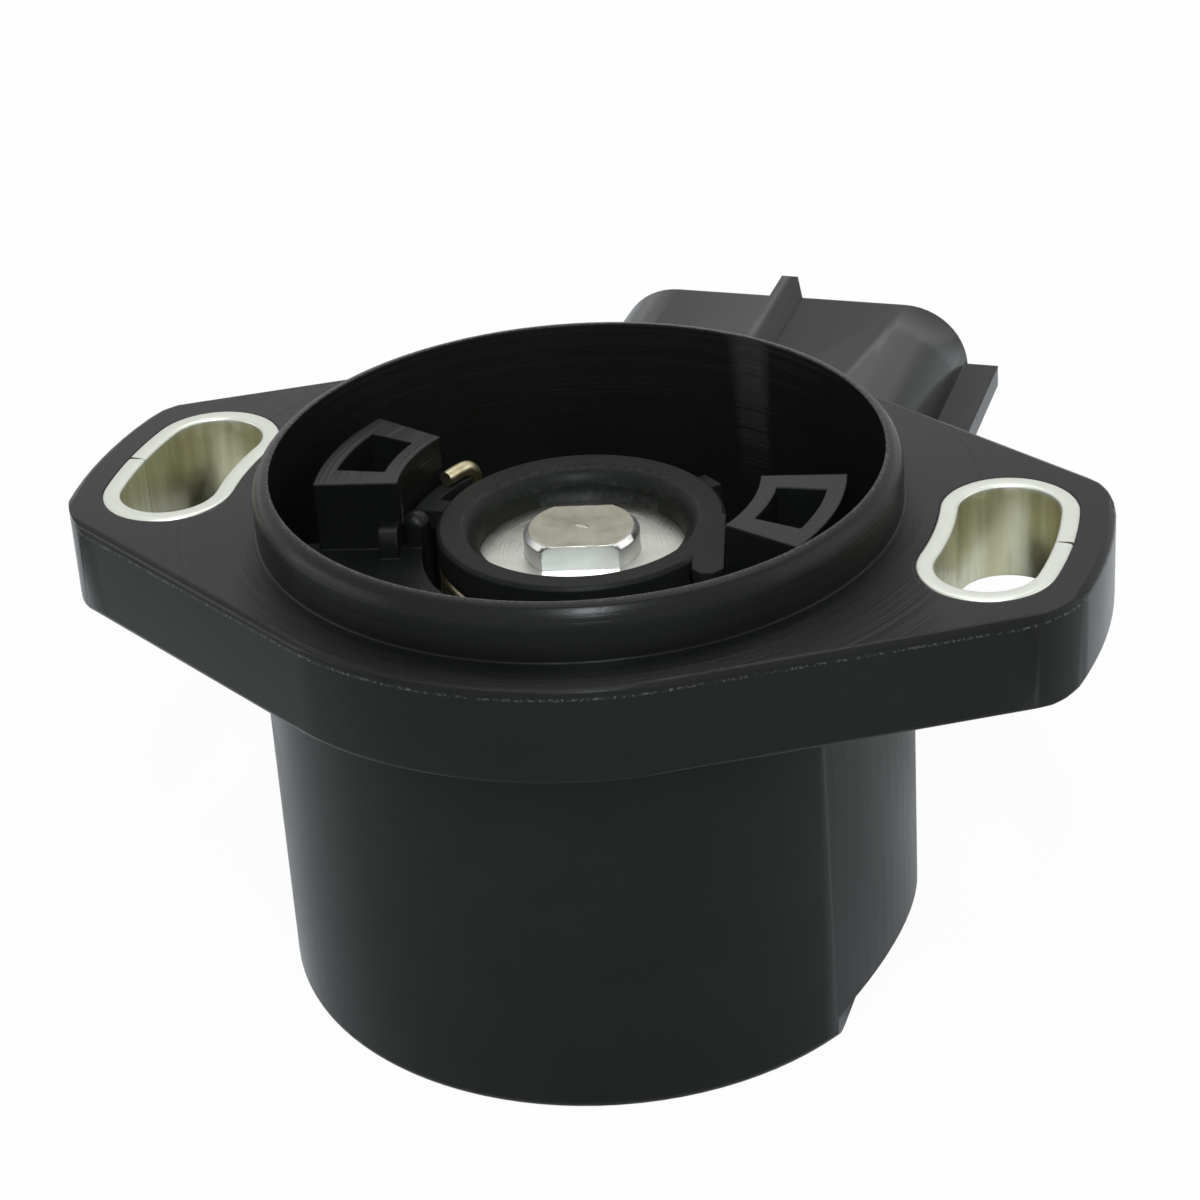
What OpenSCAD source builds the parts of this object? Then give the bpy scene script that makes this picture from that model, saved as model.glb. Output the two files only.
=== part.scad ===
// Rotary throttle position sensor: a moulded drum with a two-ear flange, a centring collar round an
// open cup, a spring-returned drive lever on a steel shaft, and a plug socket at the back.
// Origin: shaft axis at the flange's mounting face. +X along the ears, +Y to the socket, +Z out of the cup.

/* [Collar] */
// Outer radius of the centring collar
collar_r = 22; // [21:0.25:23]
// Height of the collar above the mounting face
collar_h = 3.75; // [3:0.25:5]
// Height of the collar's straight guiding wall
collar_land = 2.3; // [2:0.05:2.8]
// Radial amount of the collar's rounded lead-in
collar_lead = 1.05; // [0.8:0.05:1.15]
// Width of the flat land on the collar's rim
rim_land = 0.15; // [0.1:0.05:0.3]

/* [Flange] */
// Thickness of the flange
flange_t = 6.8; // [5.6:0.2:7.6]
// Radius of the flange's long front and back arcs
flange_mid_r = 25.4; // [24.6:0.2:26.6]
// Radius of the flange's ends about the shaft axis
flange_end_r = 36; // [35.4:0.2:37.6]
// Radius of the corners between sides and ends, as a share of the largest that fits
flange_corner_share = 0.587; // [0.5:0.01:0.68]
// Width of flange left between a bushing's end and the flange's straight side
flange_margin = 2.74; // [2.4:0.02:3.2]
// Width of the broken top and bottom edges of the flange
flange_edge_r = 0.5; // [0.3:0.1:0.8]

/* [Slots] */
// Distance from the ears' ends to the arc through the slots' middles
slot_inset = 7; // [6.5:0.25:7.5]
// Clear width of a slot, inside its bushing
slot_w = 6.8; // [6.2:0.2:7.2]
// Sweep of a slot about the shaft axis, between its end centres
slot_sweep = 15.8; // [12:0.2:17]
// Wall of the rolled steel bushing
bushing_wall = 1.25; // [0.9:0.05:1.4]
// How far a bushing stands out of the flange on each side
bushing_proud = 0.1; // [0.05:0.05:0.3]
// Width of the butt seam in a bushing
seam_w = 0.35; // [0.2:0.05:0.6]

/* [Drum] */
// Outer radius of the drum under the flange
drum_r = 22.5; // [22:0.1:23]
// Distance from the mounting face down to the drum's bottom
drum_h = 34.2; // [33:0.2:37]
// Wall of the drum
drum_wall = 4.3; // [4.1:0.1:4.5]
// Rounding of the drum's bottom edge
drum_edge_r = 0.8; // [0.4:0.1:1.2]
// Distance from the shaft axis to the flat notch in the bottom rim
notch_x = 19.8; // [19.7:0.1:20.8]
// Height of the notch in the bottom rim
notch_h = 2.4; // [1.6:0.2:3]
// Rise of the notch's ceiling outwards, in degrees
notch_slope = 30; // [20:1:38]

/* [Cup] */
// Depth of the cup below the mounting face
cup_depth = 12; // [11:0.25:13]
// Thickness of the cup's floor
floor_t = 2.2; // [1.8:0.1:2.6]
// Depth of the ledge in the cup's front half
ledge_depth = 3.5; // [3.4:0.1:4.2]
// Thickness of the ledge
ledge_t = 2; // [1.6:0.1:2.4]
// Radial room between the lever's rim and the ledge
ledge_room = 1.1; // [0.9:0.1:1.4]

/* [Pillars] */
// Height of the hollow pillars above the mounting face
pillar_rise = 1.55; // [0.5:0.25:3]
// Inner radius of the pillars
pillar_in_r = 12.4; // [12.3:0.1:12.8]
// Outer radius of the pillars
pillar_out_r = 18.2; // [17.4:0.2:19]
// Sweep of a pillar about the shaft axis
pillar_sweep = 34.6; // [30:0.2:38]
// Turn of the pillars from the line through the slots
pillar_turn = -4; // [-8:1:0]
// Side wall of a hollow pillar
pillar_wall = 1.2; // [1:0.1:1.5]
// End wall of a hollow pillar
pillar_end_wall = 2; // [1.6:0.1:2.4]
// Thickness left under a pillar's hollow
pillar_base = 1.6; // [1.2:0.1:2]

/* [Lever] */
// Outer radius of the lever's ring
lever_r = 9.9; // [9.7:0.1:10.1]
// Depth of the ring's top below the mounting face
lever_drop = 1.4; // [1:0.1:1.6]
// Radius of the ring's mouth
lever_mouth_r = 8.3; // [8:0.1:8.7]
// Radius of the bore in the ring
lever_bore_r = 7.15; // [6.8:0.05:7.4]
// Depth of the funnel in the ring's mouth
funnel_h = 1.15; // [0.8:0.05:1.4]
// Height of the ring's rim
lever_rim_h = 2.2; // [1.8:0.1:2.4]
// Wall of the skirt under the rim
skirt_wall = 1.15; // [0.9:0.05:1.3]
// Thickness of the web that holds the shaft
web_t = 1.2; // [1:0.1:1.6]
// Radius that the stop horn reaches
horn_reach = 12.9; // [12.7:0.1:13.6]
// Width of the stop horn
horn_w = 2.1; // [1.8:0.1:2.4]
// Thickness of the stop horn
horn_t = 1.8; // [1.4:0.1:1.9]
// Outer radius of the spring finger
finger_out_r = 12; // [11.8:0.05:12.1]
// Width of the spring finger
finger_w = 1.1; // [0.9:0.05:1.2]
// Angle of the finger's free end
finger_from = 152.5; // [150:0.5:156]
// Angle of the finger's root
finger_to = 181.5; // [179:0.5:182]

/* [Shaft] */
// Diameter of the shaft
shaft_d = 8; // [7.6:0.1:8.4]
// Distance across the two flats of the drive end
shaft_flats = 6; // [5.6:0.1:6.4]
// Turn of the flats from the line through the slots
flats_turn = 15; // [0:1:30]
// Depth of the shaft's end below the mounting face
shaft_drop = 2; // [1.6:0.1:2.6]
// Chamfer of the shaft's ends
shaft_chamfer = 0.4; // [0.2:0.1:0.6]
// Thickness of the bright drive plate
plate_t = 1.2; // [1:0.1:1.5]
// Height of the flats that stand clear of the plate
head_h = 1.8; // [1.5:0.1:2.2]

/* [Bearing] */
// Wall of the bronze bush
bush_wall = 1.2; // [1:0.1:1.4]
// Length of the bush
bush_l = 7; // [6:0.25:8]
// Wall of the moulded boss round the bush
boss_wall = 1.7; // [1.4:0.1:2]
// Thickness of the washer under the lever
washer_t = 0.5; // [0.4:0.05:0.7]
// Height of the shaft's lip seal
seal_h = 2.6; // [2.2:0.1:3]
// Radial width of the shaft's lip seal
seal_w = 2.9; // [2.5:0.1:3.2]
// Thickness of the retaining clip
clip_t = 0.8; // [0.6:0.05:1]
// Thickness of the washer over the retaining clip
lower_washer_t = 0.6; // [0.5:0.05:0.8]

/* [Return spring] */
// Diameter of the spring's wire
wire_d = 1.1; // [0.9:0.05:1.2]
// Turns of the spring
spring_turns = 3.8; // [2.8:1:4.8]
// Distance from turn to turn
spring_pitch = 1.45; // [1.3:0.05:1.6]

/* [Sensing element] */
// Thickness of the wiper carrier's disc
carrier_t = 1.6; // [1.3:0.1:2]
// Place of the wiper carrier's rim, as a share of the way from its hub to the board's rim
carrier_share = 0.636; // [0.6:0.01:0.66]
// Thickness of the resistor board
board_t = 1.2; // [1:0.1:1.6]
// Gap between the resistor board's rim and the chamber's wall
board_gap = 0.4; // [0.2:0.1:0.8]
// Share of the room between the wiper carrier and the cover that lies over the board
board_share = 0.4; // [0.35:0.01:0.45]
// Thickness of the printed tracks
track_t = 0.1; // [0.05:0.05:0.2]
// Place of the inner track, as a share of the way from the hub to the board's rim
track_in_share = 0.17; // [0.16:0.01:0.19]
// Place of the outer track, as a share of the way from the hub to the board's rim
track_out_share = 0.46; // [0.44:0.01:0.48]
// Width of a track
track_w = 2; // [1.6:0.1:2.2]

/* [Cover] */
// Thickness of the bottom cover
cover_t = 1.6; // [1.2:0.1:2]
// Depth of the cover's outer face inside the rim
cover_sunk = 0.4; // [0.2:0.1:0.8]
// Thickness of the cover's gasket
gasket_t = 0.6; // [0.4:0.1:0.8]
// Width of the shoulder that the gasket seats on
shoulder_w = 0.8; // [0.7:0.05:0.9]

/* [Socket] */
// Outer width of the plug socket
socket_w = 28.5; // [27.5:0.5:30]
// Outer height of the plug socket
socket_h = 12.4; // [12:0.2:13.4]
// Corner radius of the plug socket
socket_corner_r = 5; // [4:0.25:5.5]
// Wall of the plug socket
socket_wall = 1.6; // [1.4:0.1:1.8]
// Sideways place of the socket's middle
socket_x = 4; // [3:0.25:5]
// Depth of the socket's top below the mounting face
socket_drop = 3.2; // [2.8:0.1:4]
// Distance from the shaft axis to the socket's mouth
socket_reach = 42.7; // [41:0.25:45]
// Distance from the shaft axis to the socket's inner end
socket_end = 27; // [26.4:0.2:28]
// Height of the guide rib on top of the socket
rib_h = 1.8; // [1.4:0.1:2.2]
// How far the side ribs stand out of the socket
side_rib_out = 2.4; // [1.8:0.1:2.8]
// Distance from the socket's top down to the side ribs
side_rib_drop = 4.7; // [4:0.1:6]
// Width of the guide ribs on the socket
rib_w = 1.7; // [1.4:0.1:2]

/* [Terminals] */
// Number of terminal blades
terminal_count = 6; // [6]
// Distance from blade to blade in the socket
terminal_pitch = 3.2; // [2.8:0.1:3.4]
// Distance from blade to blade at the board
terminal_inner_pitch = 2; // [1.8:0.1:2.2]
// Width of a blade
blade_w = 1.5; // [1.2:0.1:1.6]
// Thickness of a blade
blade_t = 0.64; // [0.5:0.02:0.8]
// Length of a blade inside the socket
blade_l = 9.5; // [8:0.25:10.5]

/* [Fits] */
// Clearance of a seated or moulded-in round piece
seat_gap = 0.02; // [0.01:0.01:0.05]
// Radial running clearance of the shaft
run_gap = 0.03; // [0.02:0.01:0.06]
// End play between turning and fixed faces
end_gap = 0.1; // [0.05:0.05:0.15]
// Gap between a piece that rests on a stop and the stop
stop_gap = 0.2; // [0.1:0.05:0.3]

/* [Hidden] */
$fn = 96;

// A cut runs this far past the faces that it opens
over = 1;

// Collar and cup
cup_r = collar_r - collar_lead - rim_land;
lead_steps = 4;
ledge_r = lever_r + ledge_room;

// The flange's sides and ends lie this far inside the arcs that they run into
side_lap = 0.03;

// Slots
slot_r = flange_end_r - slot_inset;
bushing_half = slot_w / 2 + bushing_wall;

// Turn of the flange's straight sides and radius of its corners, so that the slots keep their margin
flange_side_turn = slot_sweep / 2 + acos((flange_mid_r - bushing_half - flange_margin) / slot_r);
flange_corner_r = flange_corner_share * (flange_mid_r - flange_end_r * cos(flange_side_turn))
    / (1 - cos(flange_side_turn));

// Pillars: the left one stands opposite the right one
pillar_half = pillar_sweep / 2;
right_pillar_mid = pillar_turn;
left_pillar_mid = 180 + pillar_turn;
right_pillar_front = right_pillar_mid - pillar_half;
left_pillar_front = left_pillar_mid + pillar_half;

// Heights down the shaft
lever_top = -lever_drop;
rim_bottom = lever_top - lever_rim_h;
shaft_top = -shaft_drop;
plate_top = shaft_top - head_h;
plate_bottom = plate_top - plate_t;
web_bottom = plate_bottom - web_t;
boss_top = web_bottom - washer_t - end_gap;
bush_bottom = boss_top - bush_l;
seal_rest = 0.4;
seal_bottom = bush_bottom - seal_rest - seal_h;
boss_bottom = seal_bottom - 0.8;
lower_washer_z = boss_bottom - end_gap - lower_washer_t;
clip_bottom = lower_washer_z - clip_t;
carrier_gap = 0.8;
carrier_top = clip_bottom - carrier_gap;
carrier_bottom = carrier_top - carrier_t;
cover_outer = -drum_h + cover_sunk;
cover_inner = cover_outer + cover_t;
board_top = carrier_bottom - board_share * (carrier_bottom - cover_inner);
track_top = board_top + track_t;
hub_drop = 1.4;
hub_bottom = carrier_bottom - hub_drop;
nut_t = 0.5;
shaft_end = hub_bottom - nut_t - 0.5;

// Round sizes down the shaft
shaft_r = shaft_d / 2;
bush_r = shaft_r + bush_wall;
boss_r = bush_r + boss_wall;
seal_r = shaft_r + seal_w;
seal_boss_r = seal_r + boss_wall;
skirt_r = lever_bore_r + skirt_wall;
washer_r = boss_r - 0.3;
clip_groove_r = shaft_r - 0.8;
clip_w = 2.4;
clip_r = shaft_r + clip_w;
clip_ease = 0.6;
hub_r = shaft_r + 2;
carrier_flat = shaft_r - 0.7;

// Lever: the horn's long edge leaves the ring as a tangent that just clears the right pillar's corner
horn_turn = acos((lever_r + stop_gap) / pillar_in_r) + right_pillar_front;
horn_length = sqrt(horn_reach * horn_reach - lever_r * lever_r);
horn_corner = 0.6;
finger_in_r = finger_out_r - finger_w;
finger_top = lever_top - 0.35;
lug_from = 46;
lug_to = 56;
lug_out_r = lever_r + 1.2;

// Posts, ribs and laps of the moulding in and under the cup
guard_r = 0.95;
guard_angle = left_pillar_front - 4.8;
stop_rib_w = 1.3;
stop_rib_l = 1.5;
ledge_lap = 3;
core_wall = 1.6;
socket_root_in = 8;
neck_root_in = 6;
core_in = 6;
board_rib_w = 2;
board_rib_in = 1.6;

// Place of the wipers on their carrier
wiper_angle = 200;
wiper_back = 3.2;
wiper_reach = 5;
wiper_base_l = 2.6;
wiper_base_in = 1.2;
tine_w = 0.5;
leaf_t = 0.2;
rivet_r = 0.5;

// Return spring: coil round the skirt, hook over the finger, tail on the floor post
spring_room = 0.5;
spring_r = skirt_r + spring_room + wire_d / 2;
coil_top = rim_bottom - 0.15 - wire_d / 2;
coil_bottom = coil_top - spring_turns * spring_pitch;
hook_r = finger_out_r - finger_w / 2;
hook_angle = finger_from - asin((wire_d / 2 + 0.12) / hook_r);
hook_z = finger_top + 0.06 + wire_d / 2;
coil_start = hook_angle + 28;
coil_end = coil_start + 360 * spring_turns;
tail_turn = 22;
tail_r = spring_r + 3.4;
tail_post_r = 1;
tail_post_at = tail_r - 0.5;
tail_post_angle = coil_end + tail_turn - asin((tail_post_r + wire_d / 2 + 0.1) / tail_post_at);

// Drum, chamber and cover
chamber_r = drum_r - drum_wall;
board_r = chamber_r - board_gap;
track_in_r = hub_r + track_in_share * (board_r - hub_r);
track_out_r = hub_r + track_out_share * (board_r - hub_r);
chamber_top = -cup_depth - floor_t;
cover_seat_r = chamber_r + shoulder_w;
shoulder_z = cover_inner + gasket_t;
cover_gap = 0.05;

// Socket
socket_mid_z = -socket_drop - socket_h / 2;
cavity_w = socket_w - 2 * socket_wall;
cavity_h = socket_h - 2 * socket_wall;
cavity_corner_r = socket_corner_r - socket_wall;
neck_half = (terminal_count - 1) * terminal_pitch / 2 + blade_w / 2 + socket_wall;
terminal_bend_y = socket_end - socket_wall;
terminal_cross_z = chamber_top - 2;
foot_inset = 2.4;
terminal_foot_y = board_r - foot_inset;
carrier_r = hub_r + carrier_share * (board_r - hub_r);
neck_bottom = terminal_cross_z - 2.4;

// Colours
black_nylon = [0.07, 0.075, 0.07];
dark_nylon = [0.16, 0.17, 0.165];
zinc_steel = [0.78, 0.79, 0.78];
turned_steel = [0.66, 0.63, 0.58];
bright_steel = [0.86, 0.87, 0.87];
brass_wire = [0.72, 0.6, 0.34];
bronze = [0.68, 0.47, 0.26];
rubber = [0.05, 0.05, 0.055];
ceramic = [0.88, 0.87, 0.83];
carbon = [0.1, 0.1, 0.11];
tin = [0.8, 0.8, 0.78];

// A flat wedge from the origin that covers radius r between two angles
module wedge(from, to, r) {
    steps = ceil((to - from) / 30);
    rays = [for (i = [0 : steps]) from + (to - from) * i / steps];
    polygon(concat([[0, 0]], [for (a = rays) 1.2 * r * [cos(a), sin(a)]]));
}

// A ring between two radii and two angles
module ring_sector(in_r, out_r, from, to, bottom, top) {
    translate([0, 0, bottom]) linear_extrude(top - bottom) intersection() {
        difference() {
            circle(out_r);
            circle(in_r);
        }
        wedge(from, to, out_r);
    }
}

module tube(out_r, in_r, bottom, top) {
    translate([0, 0, bottom]) difference() {
        cylinder(r = out_r, h = top - bottom);
        translate([0, 0, -over]) cylinder(r = in_r, h = top - bottom + 2 * over);
    }
}

// Outline of an arc-shaped slot about the shaft axis, half_w each side of its middle line
module arc_slot(half_w) {
    intersection() {
        difference() {
            circle(slot_r + half_w);
            circle(slot_r - half_w);
        }
        wedge(-slot_sweep / 2, slot_sweep / 2, slot_r + half_w);
    }
    for (side = [-1, 1]) rotate(side * slot_sweep / 2) translate([slot_r, 0]) circle(half_w);
}

module rounded_rect(w, h, r) {
    square([w, h - 2 * r], center = true);
    square([w - 2 * r, h], center = true);
    for (x = [-1, 1], y = [-1, 1]) translate([x * (w / 2 - r), y * (h / 2 - r)]) circle(r);
}

// Section through the whole flange, r each side of the middle, whose edges are broken in two steps
module edge_section(r) {
    e = flange_edge_r;
    k = 0.3 * e;
    t = flange_t;
    polygon([[r - e, 0], [r - k, -k], [r, -e], [r, e - t], [r - k, k - t], [r - e, -t],
        [e - r, -t], [k - r, k - t], [-r, e - t], [-r, -e], [k - r, -k], [e - r, 0]]);
}

// The flange's section turned round the shaft axis
module edge_disc(r) {
    rotate_extrude() intersection() {
        edge_section(r);
        translate([0, -flange_t - over]) square([r + over, flange_t + 2 * over]);
    }
}

// Outline of the rhombic flange: long arcs front and back, straight sides, ends centred on the shaft axis
module flange_outline() {
    corner_dist = flange_end_r - flange_corner_r;
    corner_in = flange_mid_r - flange_corner_r;
    corner_turn = flange_side_turn - acos(corner_in / corner_dist);
    corner = corner_dist * [cos(corner_turn), sin(corner_turn)];
    side_way = [cos(flange_side_turn), sin(flange_side_turn)];
    side = (flange_mid_r - side_lap) * side_way;
    side_end = corner + (flange_corner_r - side_lap) * side_way;
    waist = 0.4 * flange_mid_r;
    circle(flange_mid_r);
    for (x = [0, 1]) mirror([x, 0]) {
        for (y = [-1, 1]) translate([corner[0], y * corner[1]]) circle(flange_corner_r, $fn = 48);
        polygon([[0, -waist], [side[0], -side[1]], [side_end[0], -side_end[1]], [corner[0], -corner[1]],
            [corner[0], corner[1]], side_end, side, [0, waist]]);
        intersection() {
            circle(flange_end_r - side_lap);
            polygon([[0, 0], 1.4 * [corner[0], -0.93 * corner[1]], 1.4 * [corner[0], 0.93 * corner[1]]]);
        }
    }
}

// Bar whose long edges break the edges of two of the flange's sides
module side_bar(turn) {
    bar_l = 2 * flange_end_r;
    rotate([0, 0, turn]) rotate([90, 0, 0]) translate([0, 0, -bar_l]) linear_extrude(2 * bar_l)
        edge_section(flange_mid_r - side_lap);
}

module flange() {
    ear_x = 13.4;
    intersection() {
        translate([0, 0, -flange_t]) linear_extrude(flange_t) flange_outline();
        side_bar(flange_side_turn);
        side_bar(-flange_side_turn);
        edge_disc(flange_end_r - side_lap);
        union() {
            edge_disc(flange_mid_r);
            for (x = [ear_x, -ear_x - flange_end_r]) translate([x, -flange_end_r, -flange_t])
                cube([flange_end_r, 2 * flange_end_r, flange_t]);
        }
    }
}

module collar() {
    rim_r = collar_r - collar_lead;
    lead = [for (i = [0:lead_steps]) let (a = 90 * i / lead_steps)
        [rim_r + collar_lead * cos(a), collar_land + (collar_h - collar_land) * sin(a)]];
    rotate_extrude() polygon(concat([[0, -over], [collar_r, -over]], lead, [[0, collar_h]]));
}

module drum() {
    e = drum_edge_r;
    rotate_extrude() translate([0, -drum_h]) {
        square([drum_r - e, drum_h - over]);
        translate([0, e]) square([drum_r, drum_h - e - over]);
        translate([drum_r - e, e]) circle(e, $fn = 16);
    }
}

// A shape drawn in X and Z, drawn out along +Y from y0 to y1
module along_y(y0, y1) {
    translate([0, y0, 0]) rotate([-90, 0, 0]) linear_extrude(y1 - y0) mirror([0, 1]) children();
}

module socket_body() {
    along_y(drum_r - socket_root_in, socket_reach) translate([socket_x, socket_mid_z])
        rounded_rect(socket_w, socket_h, socket_corner_r);
    // Guide ribs on top and at both sides
    along_y(drum_r, socket_reach) {
        translate([socket_x, -socket_drop]) polygon([[-rib_w / 2 - 0.3, -over], [rib_w / 2 + 0.3, -over],
            [rib_w / 2 - 0.2, rib_h], [-rib_w / 2 + 0.2, rib_h]]);
        translate([socket_x, -socket_drop - side_rib_drop - rib_w / 2])
            square([socket_w + 2 * side_rib_out, rib_w], center = true);
    }
    // Root of the socket, which holds the blades' bends
    along_y(drum_r - neck_root_in, socket_end) translate([socket_x - neck_half, neck_bottom])
        square([2 * neck_half, socket_mid_z - neck_bottom]);
    // Lock tooth under the mouth
    tooth_l = 4;
    translate([socket_x - 3, socket_reach - 3, socket_mid_z - socket_h / 2]) rotate([90, 0, 90])
        linear_extrude(6) polygon([[0, over], [0, -0.4], [-tooth_l, -1.6], [-tooth_l, over]]);
}

// One terminal blade: socket pin, drop inside the root, cross bar through the wall, and foot on the board
module terminal(i) {
    x_out = socket_x + (i - (terminal_count + 1) / 2) * terminal_pitch;
    x_in = (i - (terminal_count + 1) / 2) * terminal_inner_pitch;
    half = blade_w / 2;
    foot_half = half * 0.8;
    foot_top = board_top;
    translate([x_out - half, terminal_bend_y - blade_t, socket_mid_z - blade_t / 2])
        cube([blade_w, socket_end + blade_l - terminal_bend_y + blade_t, blade_t]);
    translate([x_out - half, terminal_bend_y - blade_t, terminal_cross_z])
        cube([blade_w, blade_t, socket_mid_z + blade_t / 2 - terminal_cross_z]);
    translate([0, 0, terminal_cross_z]) linear_extrude(blade_t) polygon([
        [x_out - half, terminal_bend_y], [x_out - half, terminal_bend_y - 1.4],
        [x_in - foot_half, terminal_foot_y + 1.4], [x_in - foot_half, terminal_foot_y],
        [x_in + foot_half, terminal_foot_y], [x_in + foot_half, terminal_foot_y + 1.4],
        [x_out + half, terminal_bend_y - 1.4], [x_out + half, terminal_bend_y]]);
    translate([x_in - foot_half, terminal_foot_y, foot_top])
        cube([2 * foot_half, blade_t, terminal_cross_z + blade_t - foot_top]);
}

module pillar(mid) {
    ring_sector(pillar_in_r, pillar_out_r, mid - pillar_half, mid + pillar_half,
        -cup_depth - over, pillar_rise);
}

module pillar_hollow(mid) {
    r = (pillar_in_r + pillar_out_r) / 2;
    end = pillar_half - asin(pillar_end_wall / r);
    ring_sector(pillar_in_r + pillar_wall, pillar_out_r - pillar_wall, mid - end, mid + end,
        -cup_depth + pillar_base, pillar_rise + over);
}

// Round post with a domed end, for the spring's guard and its fixed tail
module post(r, angle, radius, bottom, top) {
    rotate([0, 0, angle]) translate([r, 0, 0]) {
        translate([0, 0, bottom]) cylinder(r = radius, h = top - radius - bottom);
        translate([0, 0, top - radius]) sphere(radius, $fn = 24);
    }
}

// Open space of the cup, less what stands in it
module cup_space() {
    top = collar_h + over;
    difference() {
        translate([0, 0, -cup_depth]) cylinder(r = cup_r, h = top + cup_depth);
        ring_sector(ledge_r, cup_r + over, left_pillar_front - ledge_lap,
            right_pillar_front + 360 + ledge_lap, -cup_depth - over, -ledge_depth);
        pillar(right_pillar_mid);
        pillar(left_pillar_mid);
        translate([0, 0, -cup_depth - over]) cylinder(r = boss_r, h = boss_top + cup_depth + over);
        stop_posts();
    }
}

// Posts and ribs in the cup that guide and stop the lever and its spring
module stop_posts() {
    // Guard post beside the spring finger, on the left pillar's inner wall
    post(pillar_in_r - guard_r + 0.05, guard_angle, guard_r, -cup_depth - over, lever_top + 0.3);
    // Rib at the front of that pillar, which stops the horn at full travel
    rotate([0, 0, left_pillar_front]) translate([pillar_in_r + 0.1, -over, -ledge_depth - over])
        cube([stop_rib_w, stop_rib_l + over, lever_top + ledge_depth + over]);
    // Post that holds the spring's tail
    post(tail_post_at, tail_post_angle, tail_post_r, -cup_depth - over, coil_bottom + wire_d);
}

// Chamber of the sensing element, with board ribs left standing and the front cored out under the ledge
module chamber_space() {
    difference() {
        union() {
            translate([0, 0, shoulder_z - over])
                cylinder(r = chamber_r, h = chamber_top - shoulder_z + over);
            ring_sector(ledge_r + core_wall, chamber_r, left_pillar_front + core_in,
                right_pillar_front + 360 - core_in, chamber_top - over, -ledge_depth - ledge_t);
        }
        translate([0, 0, boss_bottom]) cylinder(r = seal_boss_r, h = chamber_top - boss_bottom + over);
        for (a = [35, 145, 215, 325]) rotate([0, 0, a])
            translate([board_r - board_rib_in, -board_rib_w / 2, board_top])
                cube([drum_r - board_r, board_rib_w, chamber_top - board_top + over]);
    }
    translate([0, 0, -drum_h - over]) cylinder(r = cover_seat_r, h = shoulder_z + drum_h + over);
}

// Flat across one side of the bottom rim, with a ceiling that rises outwards
module rim_notch() {
    ceiling = notch_h - drum_h;
    ease = 0.6;
    rise = tan(notch_slope) * (drum_r + over - notch_x);
    along_y(-drum_r, drum_r) polygon([[notch_x, -drum_h - over], [notch_x, ceiling - ease],
        [notch_x + ease, ceiling], [drum_r + over, ceiling + rise], [drum_r + over, -drum_h - over]]);
}

module housing() {
    color(black_nylon) difference() {
        union() {
            flange();
            collar();
            drum();
            socket_body();
        }
        cup_space();
        chamber_space();
        for (side = [0, 180]) rotate([0, 0, side]) translate([0, 0, -flange_t - over])
            linear_extrude(flange_t + 2 * over) arc_slot(bushing_half + seat_gap);
        pillar_hollow(right_pillar_mid);
        pillar_hollow(left_pillar_mid);
        translate([0, 0, bush_bottom]) cylinder(r = bush_r + seat_gap, h = boss_top - bush_bottom + over);
        translate([0, 0, seal_bottom]) cylinder(r = shaft_r + 1, h = bush_bottom - seal_bottom + over);
        translate([0, 0, boss_bottom - over])
            cylinder(r = seal_r + seat_gap, h = seal_bottom + seal_h - boss_bottom + over);
        along_y(socket_end, socket_reach + over) translate([socket_x, socket_mid_z])
            rounded_rect(cavity_w, cavity_h, cavity_corner_r);
        for (i = [1 : terminal_count]) terminal(i);
        rim_notch();
    }
}

module slot_bushing(side) {
    z0 = -flange_t - bushing_proud;
    color(zinc_steel) rotate([0, 0, side > 0 ? 0 : 180]) difference() {
        translate([0, 0, z0]) linear_extrude(flange_t + 2 * bushing_proud) difference() {
            arc_slot(bushing_half);
            arc_slot(slot_w / 2);
        }
        translate([slot_r, -seam_w / 2, z0 - over])
            cube([bushing_half + over, seam_w, flange_t + 2 * bushing_proud + 2 * over]);
    }
}

module flats(top, bottom, across) {
    rotate([0, 0, flats_turn]) translate([-shaft_d, -across / 2, bottom])
        cube([2 * shaft_d, across, top - bottom]);
}

module shaft() {
    color(turned_steel) difference() {
        union() {
            intersection() {
                rotate_extrude() polygon([[0, plate_bottom - 0.5], [shaft_r, plate_bottom - 0.5],
                    [shaft_r, shaft_top - shaft_chamfer], [shaft_r - shaft_chamfer, shaft_top],
                    [0, shaft_top]]);
                flats(shaft_top + over, plate_bottom - over, shaft_flats);
            }
            rotate_extrude() polygon([[0, shaft_end], [shaft_r - shaft_chamfer, shaft_end],
                [shaft_r, shaft_end + shaft_chamfer], [shaft_r, plate_bottom], [0, plate_bottom]]);
        }
        tube(shaft_r + over, clip_groove_r, clip_bottom, lower_washer_z);
        translate([carrier_flat, -shaft_d, shaft_end - over])
            cube([shaft_d, 2 * shaft_d, carrier_top - shaft_end + over]);
    }
}

module drive_plate() {
    color(bright_steel) translate([0, 0, plate_bottom]) difference() {
        cylinder(r = lever_bore_r - seat_gap, h = plate_t);
        intersection() {
            translate([0, 0, -over]) cylinder(r = shaft_r + seat_gap, h = plate_t + 2 * over);
            flats(plate_t + over, -over, shaft_flats + 2 * seat_gap);
        }
    }
}

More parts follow.
